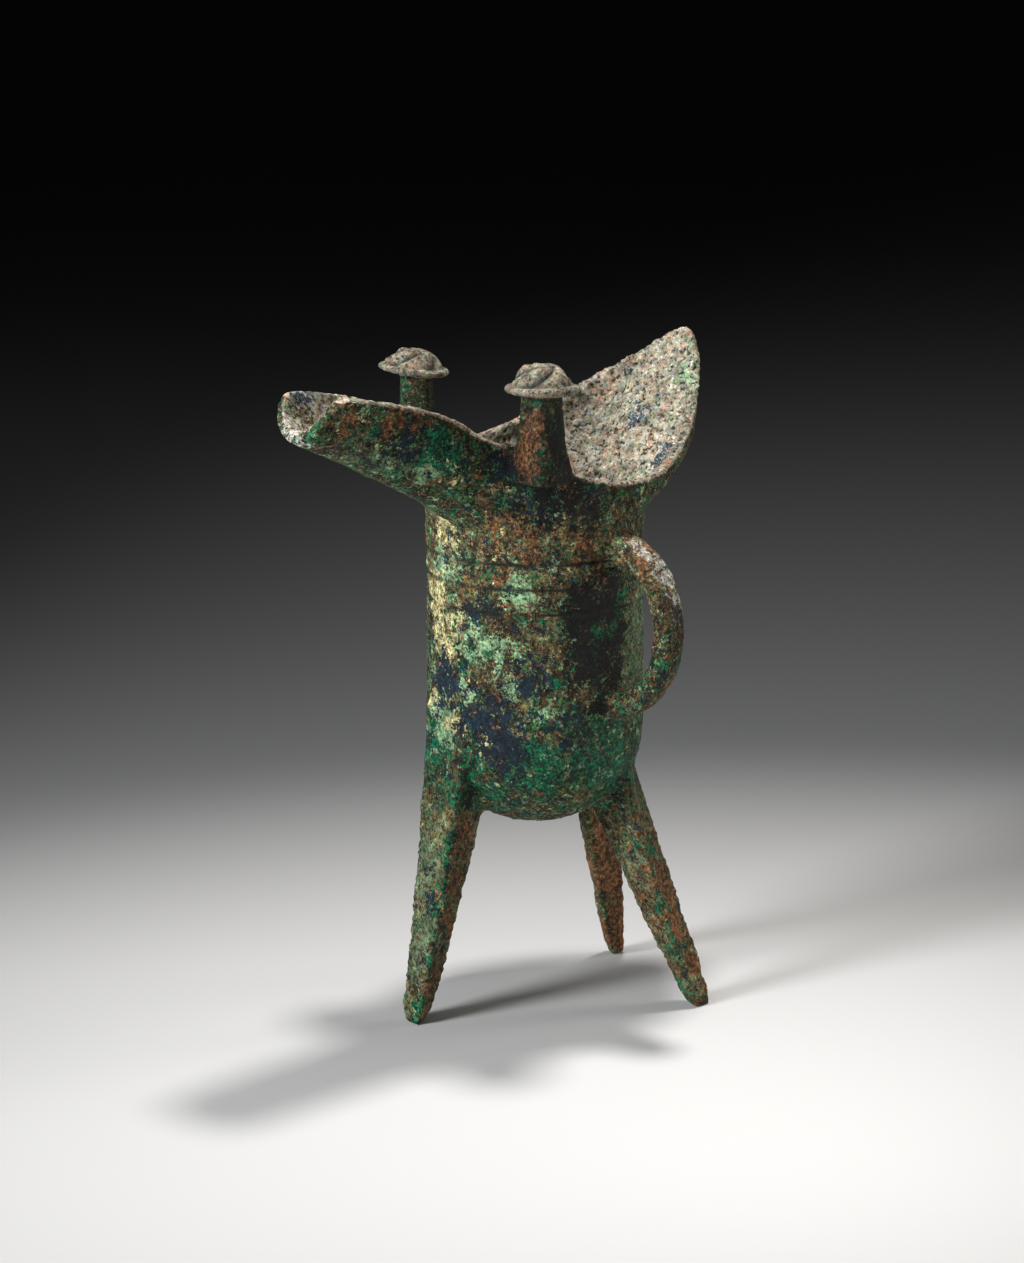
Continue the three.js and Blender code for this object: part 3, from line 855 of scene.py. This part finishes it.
def zones_of(wiring, place, given):
    """Where on the vessel a place lies, as masks by name, and what each piece adds."""
    belly = wiring.vector("DISTANCE", place, (AXIS.x, AXIS.y, BELLY_Z), "Value")
    height = wiring.add("SeparateXYZ", {0: place}).outputs["Z"]
    sun = wiring.vector("DOT_PRODUCT", given["Facing"], SUNNY_SIDE, "Value")
    legs = wiring.times(wiring.ramped(belly, *OFF_BELLY), wiring.ramped(height, *LEG_HEIGHTS))
    neck = wiring.times(wiring.ramped(height, *NECK_RISE), wiring.ramped(height, *NECK_FALL))
    cup_foot = wiring.times(wiring.ramped(height, *CUP_FOOT_RISE), wiring.ramped(height, *CUP_FOOT_FALL))
    ridge = wiring.ramped(given["Bend"], RIDGE_BEND * 0.8, RIDGE_BEND * 1.8)
    lip = wiring.ramped(wiring.times(given["Inside"], wiring.dimmed(given["Inside"])), 0.04, 0.2)
    return {
        "pale pieces": given["Pale"],
        "rusty pieces": given["Rust"],
        "legs": legs,
        "sunny legs": wiring.times(legs, wiring.ramped(sun, 0.0, 0.5)),
        "leg ridges": wiring.times(ridge, legs),
        "neck": neck,
        "foot of cup": cup_foot,
        "rim": wiring.times(lip, wiring.ramped(height, *RIM_RISE)),
    }


def lay_crusts(wiring, place, strayed, colour, crusts, zones):
    """Lays crusts over a colour one by one: gives back the new colour, and where each crust is, by name."""
    masks = {}
    for name, crust in crusts.items():
        cover = crust["cover"]
        for *centre, reach, thickness in SPOTS.get(name, ()):
            spot = {"Place": strayed, "Centre": centre, "Reach": reach, "Thickness": thickness}
            cover = wiring.plus(cover, wiring.use(SPOT, spot).outputs["Cover"])
        for zone, share in crust.get("zones", {}).items():
            cover = wiring.plus(cover, wiring.times(zones[zone], share))
        patches = {"Size": crust["size"], "Seed": crust["seed"], "Grain": crust["ragged"]}
        masks[name] = wiring.use(DEPOSIT, {"Place": place, "Cover": cover, **patches}).outputs["Mask"]
        colour = wiring.blended(masks[name], colour, wiring.mottled(place, *crust["mix"]))
    return colour, masks


def patina():
    """The whole corroded skin, by its place on the vessel: colour, roughness and height of crusts in mm."""
    wiring, given, out = new_group(
        "patina",
        [("Place", "Vector", (0, 0, 0)), ("Facing", "Vector", (0, 0, 1)), ("Relief", "Float", 0),
         ("Bend", "Float", 0), ("Groove", "Float", 0), ("Inside", "Float", 0), ("Pale", "Float", 0),
         ("Rust", "Float", 0), ("Shade", "Float", 1)],
        [("Colour", "Color"), ("Roughness", "Float"), ("Height", "Float")],
    )
    place = wiring.scaled(given["Place"], 1 / MM)
    wander = wiring.vector("SUBTRACT", wiring.noise(place, STRAY_SIZE, 4, 0.65, "Color"), (0.5, 0.5, 0.5))
    strayed = wiring.vector("ADD", place, wiring.scaled(wander, STRAY))
    zones = zones_of(wiring, place, given)
    inside = given["Inside"]

    # dark bronze and its crusts outside, sandy granules inside the mouth, and the pale rim over both
    metal = wiring.mottled(place, *METAL)
    outside, masks = lay_crusts(wiring, place, strayed, metal, CRUSTS, zones)
    ground = wiring.mottled(place, *MOUTH_GROUND)
    granules, _ = lay_crusts(wiring, place, strayed, ground, MOUTH_CRUSTS, zones)
    both = wiring.blended(inside, outside, granules)
    colour, _ = lay_crusts(wiring, place, strayed, both, RIM_CRUSTS, zones)

    # light and dark grains, calmer inside and on the legs, and darker under the soot, whose spots are painted
    # shade
    fine = wiring.noise(place, *FINE_NOISE)
    shade = wiring.ramped(fine, *FINE_SHADES)
    calm = wiring.times(wiring.most(inside, zones["legs"]), CALM_SHARE)
    shade = wiring.times(
        wiring.plus(shade, wiring.times(wiring.less(1.0, shade), calm)),
        wiring.ramped(wiring.noise(place, *CLOUD_NOISE), *CLOUD_SHADES),
        wiring.dimmed(inside, INSIDE_SHADE),
        wiring.dimmed(masks["soot and painted shade"], SOOT_AND_PAINTED_SHADE_DARKENING),
        wiring.ramped(wiring.noise(place, *PATCH_NOISE), *PATCH_SHADES),
        given["Shade"],
        # painted shade on the foot of the cup, where the belly turns under
        wiring.dimmed(zones["foot of cup"], CUP_FOOT_PAINTED_SHADE),
    )

    # pits, fewer under thick crusts, and painted shade in the creases, the rings and the caps' folds
    hollows = wiring.plus(wiring.noise(place, *PIT_NOISE), wiring.times(given["Relief"], PIT_RELIEF))
    crusted = wiring.times(wiring.most(masks["mint"], masks["cream"]), CRUSTED_PITS)
    pit_share = wiring.most(wiring.less(PIT_SHARE, crusted), wiring.times(inside, INSIDE_PITS))
    pits = wiring.times(wiring.ramped(hollows, *PIT_SPAN), pit_share)
    crease = wiring.ramped(given["Bend"], -RIDGE_BEND * 0.3, -RIDGE_BEND)
    groove = wiring.maths("MINIMUM", wiring.times(given["Groove"], GROOVE_SHARE), 1.0)
    dark = wiring.most(pits, wiring.times(crease, CREASE_SHARE), groove)
    wiring.join(wiring.blended(dark, wiring.scaled(colour, shade), linear("pits and painted shade")), out["Colour"])

    glossy = wiring.most(masks["navy"], masks["soot and painted shade"], masks["emerald"])
    wiring.join(wiring.less(DULL, wiring.times(glossy, GLOSS)), out["Roughness"])
    crusts = wiring.times(wiring.plus(masks["mint"], masks["cream"]), CRUST_BUMP)
    grains = wiring.times(wiring.plus(fine, wiring.noise(place, *TINY_NOISE)), GRAIN_BUMP)
    wiring.join(wiring.plus(crusts, grains, wiring.times(pits, PIT_BUMP)), out["Height"])
    return wiring.tree


PATINA = patina()


def bronze(slot):
    """One piece's bronze under its patina."""
    material = bpy.data.materials.new(slot)
    material.use_nodes = True
    wiring = Wiring(material.node_tree)
    shader = material.node_tree.nodes["Principled BSDF"]
    place = wiring.add("TexCoord", {})
    inputs = {"Place": place.outputs["Object"], "Facing": place.outputs["Normal"], **FINISHES[slot]}
    for label in ("Relief", "Bend", "Groove", "Inside"):
        if label not in inputs:
            inputs[label] = wiring.add("Attribute", {}, attribute_name=label.lower()).outputs["Fac"]
    skin = wiring.use(PATINA, inputs).outputs
    bump = wiring.add("Bump", {"Height": skin["Height"], "Strength": 1.0, "Distance": MM})
    wiring.join(skin["Colour"], shader.inputs["Base Color"])
    wiring.join(skin["Roughness"], shader.inputs["Roughness"])
    wiring.join(bump.outputs["Normal"], shader.inputs["Normal"])
    shader.inputs["Specular IOR Level"].default_value = SPECULAR
    return material


BRONZES = {slot: bronze(slot) for slot in FINISHES}

for node, mesh in make_pieces().items():
    piece = linked(f"{node}_casting", mesh)
    mesh.materials.clear()
    mesh.materials.append(BRONZES[SLOTS[node]])
    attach(piece, "root")
    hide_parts(node)

# The studio: a wide sheet of pale paper, five soft lamps and a little light from all round.
FLOOR_SIZE = 40
PAPER = (0.73, 0.73, 0.73, 1)
PAPER_ROUGHNESS = 0.9
ROOM_TINT = (0.56, 0.52, 0.50, 1)
ROOM_STRENGTH = 0.003

# Each lamp's place and aim in metres, its width, power in watts, spread in degrees and tint.
LAMPS = {
    "key": ((0.11, 0.035, 0.86), (-0.03, -0.15, 0), 0.09, 0.61, 55, (1.0, 0.97, 0.94)),
    "left": ((-0.636, 0.11, 0.386), (0.279, -0.063, 0.099), 0.20, 1.10, 82, (0.98, 0.99, 1.0)),
    "front": ((-0.124, -0.059, 0.693), (-0.346, -0.098, 0), 0.30, 0.17, 86, (1.0, 1.0, 1.0)),
    "right": ((0.46, -0.24, 0.24), (0.02, -0.02, 0.10), 0.20, 0.08, 50, (1.0, 0.96, 0.92)),
    "back": ((0.424, 0.467, 0.744), (0.524, 0.567, 0), 0.50, 0.13, 180, (1.0, 1.0, 1.0)),
}


def lay_floor():
    bpy.ops.mesh.primitive_plane_add(size=FLOOR_SIZE)
    floor = bpy.context.object
    floor.name = "floor"
    paper = bpy.data.materials.new("paper")
    paper.use_nodes = True
    shader = paper.node_tree.nodes["Principled BSDF"]
    shader.inputs["Base Color"].default_value = PAPER
    shader.inputs["Roughness"].default_value = PAPER_ROUGHNESS
    floor.data.materials.append(paper)


def hang_lamp(name, place, aim, width, power, spread, tint):
    light = bpy.data.lights.new(name, "AREA")
    light.shape = "DISK"
    light.size = width
    light.energy = power
    light.color = tint
    light.spread = math.radians(spread)
    lamp = linked(name, light)
    lamp.location = place
    lamp.rotation_euler = (Vector(aim) - Vector(place)).to_track_quat("-Z", "Y").to_euler()


def light_room():
    world = bpy.data.worlds.new("studio")
    world.use_nodes = True
    room = world.node_tree.nodes["Background"]
    room.inputs["Color"].default_value = ROOM_TINT
    room.inputs["Strength"].default_value = ROOM_STRENGTH
    bpy.context.scene.world = world
    bpy.context.scene.view_settings.view_transform = "Standard"


lay_floor()
for lamp_name, lamp_settings in LAMPS.items():
    hang_lamp(lamp_name, *lamp_settings)
light_room()
